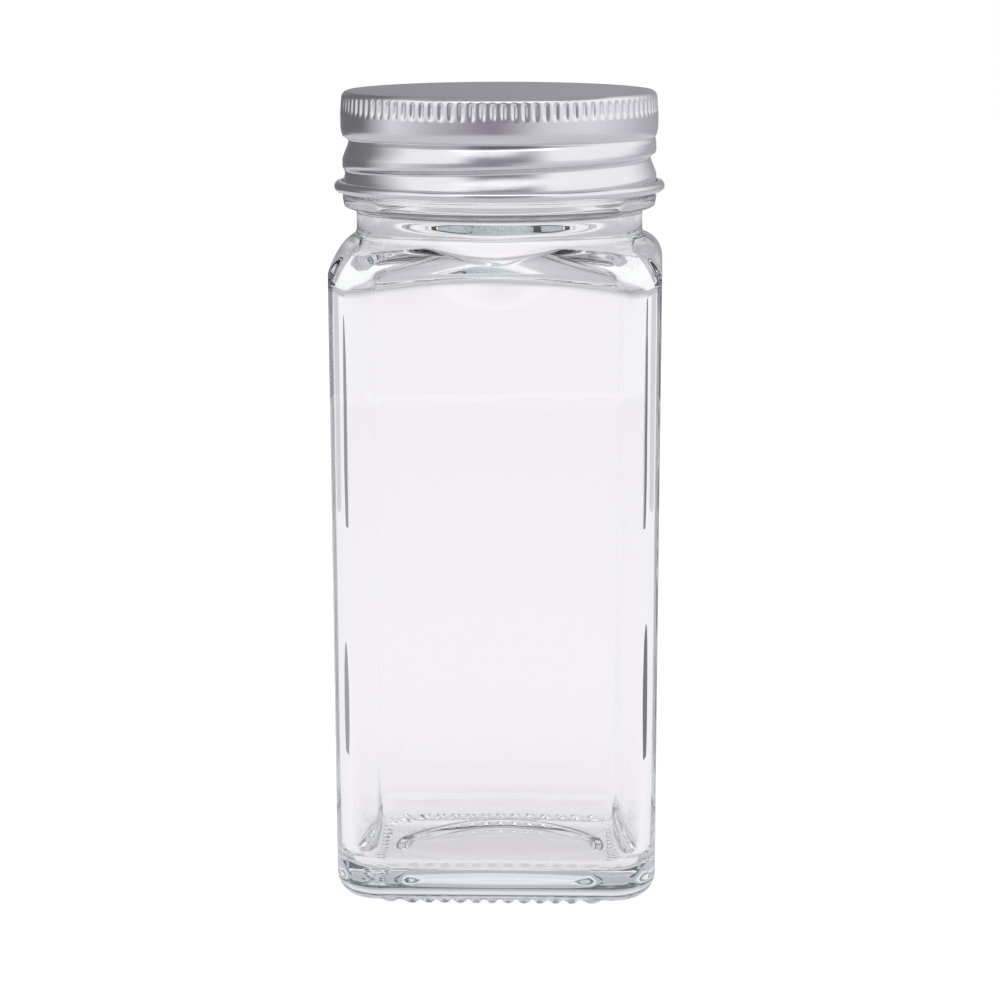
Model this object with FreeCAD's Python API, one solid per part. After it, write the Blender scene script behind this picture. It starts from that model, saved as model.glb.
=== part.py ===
import FreeCAD, Part
import math
import os

# A square glass spice jar with a shaker insert, a cap liner and a screw cap.
# All lengths are in millimetres and all angles in degrees.
# The jar's axis is Z, it stands on Z = 0 and its front face looks along -Y.

# Glass jar: the square body
body_width = 45.0          # over the flats where the walls meet the shoulder
wall_draw_in = 0.7         # how far each wall leans in from the shoulder to the foot
corner_radius = 6.0        # upright corners of the body
heel_radius = 3.5          # round between the walls and the base
shoulder_height = 89.75    # table to where the sloping shoulder meets the middle of a wall
shoulder_slope = 10.0      # fall of the shoulder from the neck outwards
shoulder_radius = 4.0      # round between the shoulder and the walls

# Glass jar: the hollow
side_wall = 2.3
shoulder_wall = 2.6
floor_height = 4.5         # table to the inner floor
cavity_corner_radius = 5.0
cavity_floor_radius = 3.6
cavity_shoulder_radius = 3.6

# Glass jar: the base
bearing_width = 3.4        # flat strip between the heel and the dome under the base
push_up_depth = 1.3        # rise of that dome
bearing_rib_count = 56     # short bars that the jar stands on
bearing_rib_height = 0.45
bearing_rib_radius = 0.8
bearing_rib_flat = 0.08    # depth of the flat where a bar meets the table
bearing_rib_length = 3.2
bearing_rib_reach = 1.2    # how far the bars run out along the heel
bearing_corner_radius = 5.0

# Glass jar: neck, transfer ring and rim
shoulder_ledge = 2.8       # face of a wall to the neck, at the middle of the wall
neck_wall = 2.2
neck_length = 3.55         # shoulder to transfer ring
neck_root_radius = 0.9     # round between the neck and the shoulder
ring_projection = 1.9      # transfer ring beyond the neck, on the radius
ring_underside = 1.8       # height of the ring's sloping underside
ring_band = 0.6            # height of its outer edge
ring_round = 0.25
finish_height = 11.75      # transfer ring to rim
rim_round = 0.8

# Shaker insert
flange_setback = 0.2       # the flange stops this far inside the neck's outer face
flange_thickness = 1.0
flange_round = 0.35
plug_depth = 7.0           # below the rim
plug_wall = 1.0
plug_clearance = 0.3       # between the plug and the bore, on the radius
snap_rib_clearance = 0.1   # between the plug's snap rib and the bore, on the radius
snap_rib_height = 1.2
snap_rib_rise = 1.1        # bottom of the plug to the snap rib
sieve_thickness = 1.2
sieve_hole_diameter = 3.8
sieve_ring_step = 5.6      # between the rings of holes
sieve_ring_counts = (1, 6, 12)

# Cap liner
liner_thickness = 1.2
liner_clearance = 0.15     # to the cap's inner round, on the radius
liner_round = 0.25

# Screw cap
cap_wall = 0.35
thread_room = 1.55         # between the neck and the inside of the skirt, on the radius
cap_ring_gap = 0.35        # between the transfer ring and the cap's lower edge
cap_band_step = 0.25       # fluted band beyond the skirt, on the radius
cap_band_height = 4.4      # top of the cap to the step down to the skirt
cap_step_height = 1.2
cap_step_round = 0.8
cap_top_round = 1.5
curl_radius = 0.75         # outside of the rolled lower edge
curl_end_angle = 105.0     # where the rolled edge stops, from the outward direction
flute_count = 96
flute_depth = 0.2
flute_radius = 0.5
flute_top_drop = 0.9       # top of the cap to the flutes
flute_length = 2.4

overrun = 1.0              # how far a cut or a joined form runs past the face that it meets
same_place = 0.001         # points closer than this count as one place
wall_edge_share = 0.9      # edges outside this share of a vessel's half width lie on its walls

# Places that follow from the sizes
foot_height = bearing_rib_height
base_half = body_width / 2 - wall_draw_in
neck_radius = body_width / 2 - shoulder_ledge
bore_radius = neck_radius - neck_wall
ring_bottom = shoulder_height + neck_length
ring_top = ring_bottom + ring_underside + ring_band
jar_height = ring_top + finish_height
liner_bottom = jar_height + flange_thickness
cap_inner_top = liner_bottom + liner_thickness
cap_top = cap_inner_top + cap_wall
skirt_inner_radius = neck_radius + thread_room
skirt_radius = skirt_inner_radius + cap_wall
band_inner_radius = skirt_inner_radius + cap_band_step
band_radius = skirt_radius + cap_band_step
cap_inner_round = cap_top_round - cap_wall

AXIS_POINT = FreeCAD.Vector(0, 0, 0)
UP = FreeCAD.Vector(0, 0, 1)
FULL_TURN = 360.0
HALF_TURN = 180.0
QUARTER_TURN = 90.0


def point(radius, height):
    """A point of an outline that is turned about the jar's axis."""
    return FreeCAD.Vector(radius, 0, height)


def polar(radius, angle, height):
    """A point at an angle round the jar's axis."""
    turn = math.radians(angle)
    return FreeCAD.Vector(radius * math.cos(turn), radius * math.sin(turn), height)


def corner_round(before, corner, after, radius):
    """The start, middle and end of the round at one corner of an outline."""
    to_before = (before - corner).normalize()
    to_after = (after - corner).normalize()
    half_angle = to_before.getAngle(to_after) / 2
    reach = radius / math.tan(half_angle)
    inwards = (to_before + to_after).normalize()
    middle = corner + inwards * (radius / math.sin(half_angle) - radius)
    return corner + to_before * reach, middle, corner + to_after * reach


def outline(corners):
    """Lines and tangent arcs round a closed outline with corners of (radius, height, round)."""
    places = [point(radius, height) for radius, height, _ in corners]
    spans = []
    for index, place in enumerate(places):
        size = corners[index][2]
        after = places[(index + 1) % len(places)]
        spans.append(corner_round(places[index - 1], place, after, size) if size else (place,))
    edges = []
    for index, span in enumerate(spans):
        if len(span) > 1:
            edges.append(Part.Arc(*span).toShape())
        following = spans[(index + 1) % len(spans)]
        edges.append(Part.LineSegment(span[-1], following[0]).toShape())
    return edges


def turned(edges):
    """A solid turned about the jar's axis from the edges of a closed outline, in order."""
    return Part.Face(Part.Wire(edges)).revolve(AXIS_POINT, UP, FULL_TURN)


def rounded_square(half, corner, height):
    """A level square outline with round corners, by its half width."""
    flat = half - corner
    diagonal = flat + corner * math.cos(math.pi / 4)
    edges = []
    for quarter in range(4):
        turn = FreeCAD.Rotation(UP, QUARTER_TURN * quarter)
        start, end, middle, next_start = (
            turn.multVec(FreeCAD.Vector(x, y, height))
            for x, y in ((half, -flat), (half, flat), (diagonal, diagonal), (flat, half))
        )
        edges.append(Part.LineSegment(start, end).toShape())
        edges.append(Part.Arc(end, middle, next_start).toShape())
    return Part.Wire(edges)


def half_width_at(height):
    """Outer half width of the body at a height, along the lean of its walls."""
    rise_share = (height - foot_height) / (shoulder_height - foot_height)
    return base_half + wall_draw_in * rise_share


def square_vessel(bottom, shoulder, inset, corner, bottom_round, shoulder_round):
    """A leaning-walled square form with a sloping top and a rounded heel and shoulder.

    The walls follow the body's walls, set in from them by inset. The top is a flat cone that
    meets the middle of each wall at the height called shoulder.
    """
    half = half_width_at(shoulder) - inset
    slope = math.tan(math.radians(shoulder_slope))
    peak = shoulder + half * slope
    levels = (bottom, peak)
    rings = [rounded_square(half_width_at(level) - inset, corner, level) for level in levels]
    walls = Part.makeLoft(rings, True, True)
    reach = 2 * half
    eaves = peak - reach * slope
    roof = turned(outline([(0, bottom, 0), (reach, bottom, 0), (reach, eaves, 0), (0, peak, 0)]))
    form = walls.common(roof)
    middle = (bottom + shoulder) / 2
    top_edges = []
    for edge in form.Edges:
        centre = edge.CenterOfMass
        on_wall = math.hypot(centre.x, centre.y) > wall_edge_share * half
        if on_wall and edge.BoundBox.ZMin > middle:
            top_edges.append(edge)
    form = form.makeFillet(shoulder_round, top_edges)
    heel_edges = [edge for edge in form.Edges if edge.BoundBox.ZMax < middle]
    return form.makeFillet(bottom_round, heel_edges)


def neck_form():
    """The round neck with its transfer ring and rim, solid, from inside the shoulder upwards."""
    ring_radius = neck_radius + ring_projection
    root = shoulder_height - overrun
    return turned(
        outline(
            [
                (0, root, 0),
                (neck_radius, root, 0),
                (neck_radius, ring_bottom, ring_round),
                (ring_radius, ring_top - ring_band, ring_round),
                (ring_radius, ring_top, ring_round),
                (neck_radius, ring_top, 0),
                (neck_radius, jar_height, rim_round),
                (0, jar_height, 0),
            ]
        )
    )


def neck_root_edges(body):
    """The edges where the neck rises out of the shoulder."""
    middle = (shoulder_height + ring_bottom) / 2
    edges = []
    for edge in body.Edges:
        ends = edge.FirstParameter, edge.LastParameter
        places = [edge.valueAt(value) for value in (ends[0], sum(ends) / 2)]
        misses = [abs(math.hypot(place.x, place.y) - neck_radius) for place in places]
        if edge.BoundBox.ZMax < middle and max(misses) < same_place:
            edges.append(edge)
    return edges


def push_up():
    """The large ball whose top is the shallow dome under the base."""
    rim = base_half - heel_radius - bearing_width
    radius = (rim**2 + push_up_depth**2) / (2 * push_up_depth)
    return Part.makeSphere(radius, point(0, foot_height + push_up_depth - radius))


def bearing_ribs():
    """Short round bars across the edge of the base, square to it, flat where they stand."""
    inner_half = base_half - heel_radius + bearing_rib_reach - bearing_rib_length
    flat = inner_half - bearing_corner_radius
    height = bearing_rib_radius - bearing_rib_flat
    path = rounded_square(inner_half, bearing_corner_radius, height)
    ribs = []
    for start in path.discretize(Number=bearing_rib_count + 1)[:-1]:
        core_x = min(max(start.x, -flat), flat)
        core_y = min(max(start.y, -flat), flat)
        outwards = start - FreeCAD.Vector(core_x, core_y, height)
        ribs.append(Part.makeCylinder(bearing_rib_radius, bearing_rib_length, start, outwards))
    below = Part.makeCylinder(body_width, overrun, point(0, -overrun))
    return [rib.cut(below) for rib in ribs]


def glass_jar():
    """The jar: a hollow square body with a round neck and a ribbed base."""
    body = square_vessel(
        foot_height, shoulder_height, 0, corner_radius, heel_radius, shoulder_radius
    )
    body = body.fuse(neck_form())
    body = body.makeFillet(neck_root_radius, neck_root_edges(body))
    cavity = square_vessel(
        floor_height,
        shoulder_height - shoulder_wall,
        side_wall,
        cavity_corner_radius,
        cavity_floor_radius,
        cavity_shoulder_radius,
    )
    bore_start = (floor_height + shoulder_height) / 2
    bore = Part.makeCylinder(
        bore_radius, jar_height + overrun - bore_start, point(0, bore_start)
    )
    hollow = body.cut(cavity.fuse(bore)).cut(push_up())
    return hollow.fuse(bearing_ribs())


def shaker_insert():
    """The plug that closes the neck, with a flange on the rim and a sieve of round holes."""
    flange_radius = neck_radius - flange_setback
    flange_top = jar_height + flange_thickness
    plug_radius = bore_radius - plug_clearance
    plug_inner = plug_radius - plug_wall
    plug_bottom = jar_height - plug_depth
    rib_bottom = plug_bottom + snap_rib_rise
    sieve_bottom = jar_height - sieve_thickness
    insert = turned(
        outline(
            [
                (0, sieve_bottom, 0),
                (plug_inner, sieve_bottom, 0),
                (plug_inner, plug_bottom, 0),
                (plug_radius, plug_bottom, 0),
                (plug_radius, rib_bottom, 0),
                (bore_radius - snap_rib_clearance, rib_bottom + snap_rib_height / 2, 0),
                (plug_radius, rib_bottom + snap_rib_height, 0),
                (plug_radius, jar_height, 0),
                (flange_radius, jar_height, 0),
                (flange_radius, flange_top, flange_round),
                (plug_inner, flange_top, flange_round),
                (plug_inner, jar_height, 0),
                (0, jar_height, 0),
            ]
        )
    )
    holes = []
    for ring, count in enumerate(sieve_ring_counts):
        for index in range(count):
            place = polar(ring * sieve_ring_step, FULL_TURN * index / count, sieve_bottom - overrun)
            depth = sieve_thickness + 2 * overrun
            holes.append(Part.makeCylinder(sieve_hole_diameter / 2, depth, place))
    return insert.cut(holes)


def cap_liner():
    """The sealing disc inside the top of the cap."""
    radius = band_inner_radius - cap_inner_round - liner_clearance
    return turned(
        outline(
            [
                (0, liner_bottom, 0),
                (radius, liner_bottom, liner_round),
                (radius, cap_inner_top, liner_round),
                (0, cap_inner_top, 0),
            ]
        )
    )


def rolled_edge(height):
    """The cap's lower edge, rolled outwards from the skirt at a height."""
    centre = point(skirt_inner_radius + curl_radius, height)
    end_angle = FULL_TURN + curl_end_angle
    arcs = []
    for radius in (curl_radius, curl_radius - cap_wall):
        arcs.append(
            [
                centre + point(radius * math.cos(angle), radius * math.sin(angle))
                for angle in map(math.radians, (HALF_TURN, (HALF_TURN + end_angle) / 2, end_angle))
            ]
        )
    outside, inside = arcs
    return turned(
        [
            Part.Arc(*outside).toShape(),
            Part.LineSegment(outside[-1], inside[-1]).toShape(),
            Part.Arc(*reversed(inside)).toShape(),
            Part.LineSegment(inside[0], outside[0]).toShape(),
        ]
    )


def screw_cap():
    """The thin metal cap: a flat top, a fluted band, a skirt and a rolled lower edge."""
    step_top = cap_top - cap_band_height
    step_bottom = step_top - cap_step_height
    skirt_end = ring_top + cap_ring_gap + curl_radius
    shell = turned(
        outline(
            [
                (0, cap_inner_top, 0),
                (band_inner_radius, cap_inner_top, cap_inner_round),
                (band_inner_radius, step_top, cap_step_round),
                (skirt_inner_radius, step_bottom, cap_step_round),
                (skirt_inner_radius, skirt_end, 0),
                (skirt_radius, skirt_end, 0),
                (skirt_radius, step_bottom, cap_step_round),
                (band_radius, step_top, cap_step_round),
                (band_radius, cap_top, cap_top_round),
                (0, cap_top, 0),
            ]
        )
    )
    cap = shell.fuse(rolled_edge(skirt_end))
    flute_bottom = cap_top - flute_top_drop - flute_length
    flutes = []
    for index in range(flute_count):
        angle = FULL_TURN * index / flute_count
        place = polar(band_radius + flute_radius - flute_depth, angle, flute_bottom)
        flutes.append(Part.makeCylinder(flute_radius, flute_length, place))
    return cap.cut(flutes)


PIECES = {
    "glass_jar": glass_jar,
    "shaker_insert": shaker_insert,
    "cap_liner": cap_liner,
    "screw_cap": screw_cap,
}


def main():
    """Builds each piece and writes it to its own file."""
    os.makedirs("parts", exist_ok=True)
    for name, build in PIECES.items():
        shape = build()
        solid = shape.Solids[0] if len(shape.Solids) == 1 else shape
        print(name, "valid", solid.isValid(), "solids", len(shape.Solids), "volume", round(solid.Volume, 1))
        solid.exportStep("parts/" + name + ".step")


main()
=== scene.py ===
import logging
import math
from dataclasses import dataclass
from enum import Enum
from typing import Any, Callable, ClassVar, Iterable

import bmesh
import bpy
from bmesh.types import BMEdge, BMesh, BMVert
from bpy.types import Material, Node, NodeSocket, NodeTree, Object
from mathutils import Matrix, Quaternion, Vector, noise


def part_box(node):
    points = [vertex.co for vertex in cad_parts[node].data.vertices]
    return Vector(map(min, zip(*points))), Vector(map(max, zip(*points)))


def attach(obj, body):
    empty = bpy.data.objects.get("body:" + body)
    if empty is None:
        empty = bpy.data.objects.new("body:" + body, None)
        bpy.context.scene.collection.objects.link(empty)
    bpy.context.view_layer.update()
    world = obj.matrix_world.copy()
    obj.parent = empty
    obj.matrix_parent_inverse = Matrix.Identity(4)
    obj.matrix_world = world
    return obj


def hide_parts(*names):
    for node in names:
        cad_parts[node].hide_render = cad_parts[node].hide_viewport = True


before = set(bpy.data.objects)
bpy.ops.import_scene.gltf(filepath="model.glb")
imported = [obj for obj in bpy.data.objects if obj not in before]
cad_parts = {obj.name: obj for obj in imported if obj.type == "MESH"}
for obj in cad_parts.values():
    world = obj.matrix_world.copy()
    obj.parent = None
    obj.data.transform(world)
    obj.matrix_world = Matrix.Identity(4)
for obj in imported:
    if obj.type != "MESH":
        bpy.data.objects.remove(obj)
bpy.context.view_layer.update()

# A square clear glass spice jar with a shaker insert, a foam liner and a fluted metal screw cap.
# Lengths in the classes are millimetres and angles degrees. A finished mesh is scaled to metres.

MM = 0.001
INCH = 25.4
FULL_TURN = 360.0
HALF_TURN = 180.0
# Direction of the front, counted about the Z axis from +X.
FRONT = 270.0
# A spun skin is made of this many equal sectors.
SECTORS = 8
# Points nearer to each other than this are one point.
SAME_PLACE = 1e-4
WHITE = "#FFFFFF"
log = logging.getLogger("spice_jar")

Triple = tuple[float, float, float]
Profile = list[tuple[float, float]]
Place = Callable[[float], Vector]
StepPlace = Callable[[float, float], Vector]
Shift = Callable[[float, float], float]
Stops = tuple[tuple[float, str], ...]
Inputs = dict[str | int, Any]


class Body(Enum):
    """The moving bodies that the pieces ride on."""

    JAR = "jar"
    SHAKER = "shaker"
    LINER = "liner"
    CAP = "cap"


class Sight(Enum):
    """Where a piece of the studio shows: everywhere, only in the metal or only through the glass."""

    ALL = "all"
    METAL = "metal"
    GLASS = "glass"


def smoothstep(low: float, high: float, value: float) -> float:
    """Returns 0 below low, 1 above high and an even S curve between them."""
    share = min(max((value - low) / (high - low), 0.0), 1.0)
    return share * share * (3.0 - 2.0 * share)


def shares(count: int) -> list[float]:
    """Returns count even steps from just above 0 up to 1."""
    return [index / count for index in range(1, count + 1)]


def node_span(name: str) -> tuple[Vector, Vector]:
    """Returns the lowest and highest corner of a frame node in millimetres."""
    low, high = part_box(name)
    return low / MM, high / MM


def at_angle(angle: float, radius: float, height: float) -> Vector:
    """Returns the point at an angle in radians, a radius and a height."""
    return Vector((radius * math.cos(angle), radius * math.sin(angle), height))


def rounded_path(corners: Iterable[Triple], step: float, turn: float = 12.0) -> Profile:
    """Follows an open outline of straight runs and tangent rounds.

    Args:
        corners: (radius, height, round) of each corner, in order.
        step: Longest distance between points on a straight run.
        turn: Largest change of direction between points on a round.

    Returns:
        The points of the outline as (radius, height).
    """
    listed = list(corners)
    places = [Vector((radius, height)) for radius, height, _ in listed]
    points = [places[0]]

    def run_to(end: Vector) -> None:
        """Adds points on a straight run from the last point to its end."""
        count = max(1, math.ceil((end - points[-1]).length / step - SAME_PLACE))
        points.extend([points[-1].lerp(end, share) for share in shares(count)])

    for index in range(1, len(places)):
        corner, size = places[index], listed[index][2]
        if not size or index == len(places) - 1:
            run_to(corner)
            continue
        before = (places[index - 1] - corner).normalized()
        after = (places[index + 1] - corner).normalized()
        half = before.angle(after) / 2
        reach = size / math.tan(half)
        centre = corner + (before + after).normalized() * (size / math.sin(half))
        run_to(corner + before * reach)
        first = (corner + before * reach - centre).normalized()
        last = (corner + after * reach - centre).normalized()
        count = max(2, math.ceil((HALF_TURN - math.degrees(2 * half)) / turn))
        points.extend(centre + first.slerp(last, share).normalized() * size for share in shares(count))
    return [(point.x, point.y) for point in points]


def polar_radius(angle: float, half: float, corner: float) -> float:
    """Measures a rounded square from its middle.

    Args:
        angle: Direction in radians.
        half: Half of the square's width.
        corner: Radius of its corners.

    Returns:
        How far the square reaches in that direction.
    """
    off_face = abs((angle + math.pi / 4) % (math.pi / 2) - math.pi / 4)
    flat = half - corner
    if math.tan(off_face) * half <= flat:
        return half / math.cos(off_face)
    along = flat * (math.cos(off_face) + math.sin(off_face))
    aside = flat * (math.cos(off_face) - math.sin(off_face))
    return along + math.sqrt(max(corner * corner - aside * aside, 0.0))


def extruded(mesh: BMesh, ring: list[BMEdge]) -> tuple[list[BMVert], list[BMEdge]]:
    """Grows one row of faces from a ring of edges.

    Args:
        mesh: The skin that grows.
        ring: Its open edges.

    Returns:
        The new vertices, still at the place of the old ones, and the new open edges.
    """
    made = bmesh.ops.extrude_edge_only(mesh, edges=ring)["geom"]
    verts = [item for item in made if isinstance(item, BMVert)]
    edges = [item for item in made if isinstance(item, BMEdge)]
    fresh = set(verts)
    return verts, [edge for edge in edges if fresh.issuperset(edge.verts)]


class RingLoft:
    """A skin that grows ring by ring about the Z axis, from one pole to the other."""

    POLE_RADIUS = 0.4

    def __init__(self, segments: int, crowding: float, pole_height: float) -> None:
        """Starts the skin with a small fan at the pole.

        Args:
            segments: Columns round the axis.
            crowding: How far columns gather at the corners of a square, from 0 to 1.
            pole_height: Height of the fan.
        """
        self.mesh = bmesh.new()
        bmesh.ops.create_circle(
            self.mesh, cap_ends=True, cap_tris=True, segments=segments, radius=self.POLE_RADIUS
        )
        for vert in self.mesh.verts:
            angle = math.atan2(vert.co.y, vert.co.x)
            angle += crowding * math.sin(4 * angle) / 4
            vert.co = at_angle(angle, vert.co.to_2d().length, pole_height)
        self.ring = [edge for edge in self.mesh.edges if edge.is_boundary]

    def grow(self, place: Place) -> None:
        """Extrudes the last ring.

        Args:
            place: Says where a new vertex goes, from its angle in radians.
        """
        fresh, self.ring = extruded(self.mesh, self.ring)
        for vert in fresh:
            vert.co = place(math.atan2(vert.co.y, vert.co.x))

    def grow_steps(self, steps: Iterable[float], place: StepPlace) -> None:
        """Grows one ring for each step, put where place says for an angle and that step."""
        for step in steps:
            self.grow(lambda angle, step=step: place(angle, step))

    def grow_profile(self, profile: Profile, shift: Shift = lambda angle, height: 0.0) -> None:
        """Grows one level ring for each profile point, moved outwards by shift."""
        for radius, height in profile:
            self.grow(lambda angle, r=radius, z=height: at_angle(angle, r + shift(angle, z), z))

    def close(self) -> BMesh:
        """Draws the last ring to its middle.

        Returns:
            The closed skin.
        """
        fresh, _ = extruded(self.mesh, self.ring)
        middle = sum((vert.co for vert in fresh), Vector()) / len(fresh)
        bmesh.ops.pointmerge(self.mesh, verts=fresh, merge_co=middle)
        return self.mesh


def spun(profile: Profile, steps: int) -> BMesh:
    """Turns a profile of (radius, height) points into a round skin about the Z axis.

    Args:
        profile: Points of the section, from the axis or a free edge to the other end.
        steps: Columns round the axis, a multiple of SECTORS.

    Returns:
        The skin, spun as one sector and repeated round the axis.
    """
    mesh = bmesh.new()
    verts = [mesh.verts.new((radius, 0.0, height)) for radius, height in profile]
    edges = [mesh.edges.new(pair) for pair in zip(verts, verts[1:])]
    sector = math.tau / SECTORS
    middle, axis = (0.0, 0.0, 0.0), (0.0, 0.0, 1.0)
    bmesh.ops.spin(
        mesh, geom=verts + edges, cent=middle, axis=axis, angle=sector, steps=steps // SECTORS
    )
    first = mesh.verts[:] + mesh.edges[:] + mesh.faces[:]
    for index in range(1, SECTORS):
        copied = bmesh.ops.duplicate(mesh, geom=first)["geom"]
        turned = [item for item in copied if isinstance(item, BMVert)]
        turn = Matrix.Rotation(index * sector, 3, "Z")
        bmesh.ops.rotate(mesh, cent=middle, matrix=turn, verts=turned)
    bmesh.ops.remove_doubles(mesh, verts=mesh.verts, dist=SAME_PLACE)
    return mesh


def to_object(mesh: BMesh, name: str, *materials: Material) -> Object:
    """Turns a skin in metres into an object of the scene.

    Args:
        mesh: The skin, which is used up.
        name: Name of the object.
        *materials: Its materials, in the order that its faces count them.

    Returns:
        The object at the origin.
    """
    data = bpy.data.meshes.new(name)
    mesh.to_mesh(data)
    mesh.free()
    for material in materials:
        data.materials.append(material)
    item = bpy.data.objects.new(name, data)
    bpy.context.scene.collection.objects.link(item)
    return item


def finish_piece(mesh: BMesh, name: str, body: Body, slot: str, *materials: Material) -> None:
    """Turns a skin in millimetres into the piece that stands for the frame node of its name.

    Args:
        mesh: The closed skin, which is used up.
        name: Name of the piece and of the frame node that it replaces.
        body: Body that it rides on.
        slot: Not used.
        *materials: Its finish, and the others that its faces count up from there.
    """
    bmesh.ops.recalc_face_normals(mesh, faces=mesh.faces)
    bmesh.ops.scale(mesh, vec=(MM, MM, MM), verts=mesh.verts)
    piece = to_object(mesh, name, *materials)
    piece.data.shade_smooth()
    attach(piece, body.value)
    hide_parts(name)
    log.info("%s: %d faces on %s", name, len(piece.data.polygons), body.value)


def linear(code: str) -> tuple[float, float, float, float]:
    """Returns a hex colour such as #D0CFD3, by the sRGB curve, as linear red, green, blue and alpha."""
    parts = [int(code[place : place + 2], 16) / 255.0 for place in (1, 3, 5)]
    return (*(c / 12.92 if c <= 0.04045 else ((c + 0.055) / 1.055) ** 2.4 for c in parts), 1.0)


def add_node(tree: NodeTree, kind: str, inputs: Inputs | None = None, **settings: Any) -> Node:
    """Adds a shader node with its settings, values and links.

    Args:
        tree: Node tree that takes the node.
        kind: Node type after the word ShaderNode, such as Bump.
        inputs: For each named or numbered input its value, a socket to link, or a node whose
            first output is linked.
        **settings: Properties of the node.

    Returns:
        The new node.
    """
    node = tree.nodes.new("ShaderNode" + kind)
    for name, value in settings.items():
        setattr(node, name, value)
    for name, value in (inputs or {}).items():
        if isinstance(value, Node):
            value = value.outputs[0]
        if isinstance(value, NodeSocket):
            tree.links.new(value, node.inputs[name])
        else:
            node.inputs[name].default_value = value
    return node


def new_tree(name: str) -> tuple[Material, NodeTree]:
    """Starts a material.

    Args:
        name: Name of the material.

    Returns:
        The new material and its empty node tree.
    """
    material = bpy.data.materials.new(name)
    material.use_nodes = True
    material.node_tree.nodes.clear()
    return material, material.node_tree


def per_metre(size: float) -> float:
    """Returns the texture scale whose features are about size millimetres wide."""
    return 1.0 / (size * MM)


def relief(tree: NodeTree, place: Any, size: float, detail: float, height: float) -> Node:
    """Roughens a surface with a fine uneven pattern.

    Args:
        tree: Node tree of the material.
        place: Socket or node that gives the place on the piece.
        size: Width of the pattern's features.
        detail: How many finer layers the pattern has.
        height: How high the features stand.

    Returns:
        The bump node, whose first output is the changed normal.
    """
    grain = add_node(tree, "TexNoise", {"Vector": place, "Scale": per_metre(size), "Detail": detail})
    return add_node(tree, "Bump", {"Height": grain, "Distance": height * MM})


@dataclass(frozen=True)
class ClearGlass:
    """Soda-lime flint glass, pressed and blown in a mould and fire polished."""

    name: str = "soda_lime_flint_glass"
    body_tint: str = "#BFD6DA"
    absorption: float = 9.0
    ior: float = 1.52
    ripple_size: float = 9.0
    ripple_detail: float = 1.0
    ripple_height: float = 0.012

    def material(self) -> Material:
        """Mixes the glass: clear, with mould ripple and a faint teal cast where it is thick.

        Returns:
            The material.
        """
        material, tree = new_tree(self.name)
        place = add_node(tree, "TexCoord").outputs["Object"]
        wave = relief(tree, place, self.ripple_size, self.ripple_detail, self.ripple_height)
        looks = {"Base Color": linear(WHITE), "Roughness": 0.0, "IOR": self.ior, "Normal": wave}
        shader = add_node(tree, "BsdfPrincipled", {**looks, "Transmission Weight": 1.0})
        depth = {"Color": linear(self.body_tint), "Density": self.absorption}
        volume = add_node(tree, "VolumeAbsorption", depth)
        add_node(tree, "OutputMaterial", {"Surface": shader, "Volume": volume})
        return material


@dataclass(frozen=True)
class SatinAluminium:
    """Aluminium sheet, drawn and rolled to shape, with a satin face under clear lacquer."""

    name: str = "drawn_satin_aluminium"
    colour: str = "#EAE9ED"
    roughness: tuple[float, float] = (0.18, 0.22)
    # Real drawing lines are finer. These are as coarse as they need to be to show.
    draw_line_width: float = 0.28
    draw_line_length: float = 9.0
    draw_line_detail: float = 2.0
    draw_line_height: float = 0.0016
    fleck_size: float = 0.7
    fleck_detail: float = 3.0
    fleck_spread: tuple[float, float] = (0.3, 0.7)

    def material(self) -> Material:
        """Mixes the metal: fine upright drawing lines and a slightly uneven satin gloss.

        Returns:
            The material.
        """
        material, tree = new_tree(self.name)
        place = add_node(tree, "TexCoord").outputs["Object"]
        stretch = (1.0, 1.0, self.draw_line_width / self.draw_line_length)
        drawn = add_node(tree, "Mapping", {"Vector": place, "Scale": stretch})
        lines = relief(tree, drawn, self.draw_line_width, self.draw_line_detail, self.draw_line_height)
        pattern = {"Scale": per_metre(self.fleck_size), "Detail": self.fleck_detail}
        flecks = add_node(tree, "TexNoise", {"Vector": place, **pattern})
        ends = dict(zip(("From Min", "From Max", "To Min", "To Max"), self.fleck_spread + self.roughness))
        gloss = add_node(tree, "MapRange", {"Value": flecks, **ends})
        looks = {"Base Color": linear(self.colour), "Metallic": 1.0, "Roughness": gloss, "Normal": lines}
        add_node(tree, "OutputMaterial", {"Surface": add_node(tree, "BsdfPrincipled", looks)})
        return material


@dataclass(frozen=True)
class PalePlastic:
    """A pale plastic with a fine grain: moulded and milky, foamed, or baked on as a lacquer."""

    name: str
    colour: str
    roughness: float
    grain_size: float
    grain_height: float
    grain_detail: float = 3.0
    glow: float = 0.0
    glow_depth: float = 1.0
    clearness: float = 0.0

    def material(self) -> Material:
        """Mixes the plastic: light sinks a little way in, and a grain breaks its gloss.

        Returns:
            The material.
        """
        material, tree = new_tree(self.name)
        place = add_node(tree, "TexCoord").outputs["Object"]
        looks = {
            "Base Color": linear(self.colour),
            "Roughness": self.roughness,
            "Subsurface Weight": self.glow,
            "Subsurface Scale": self.glow_depth * MM,
            "Subsurface Radius": (1.0, 1.0, 1.0),
            "Transmission Weight": self.clearness,
            "Normal": relief(tree, place, self.grain_size, self.grain_detail, self.grain_height),
        }
        add_node(tree, "OutputMaterial", {"Surface": add_node(tree, "BsdfPrincipled", looks)})
        return material


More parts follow.
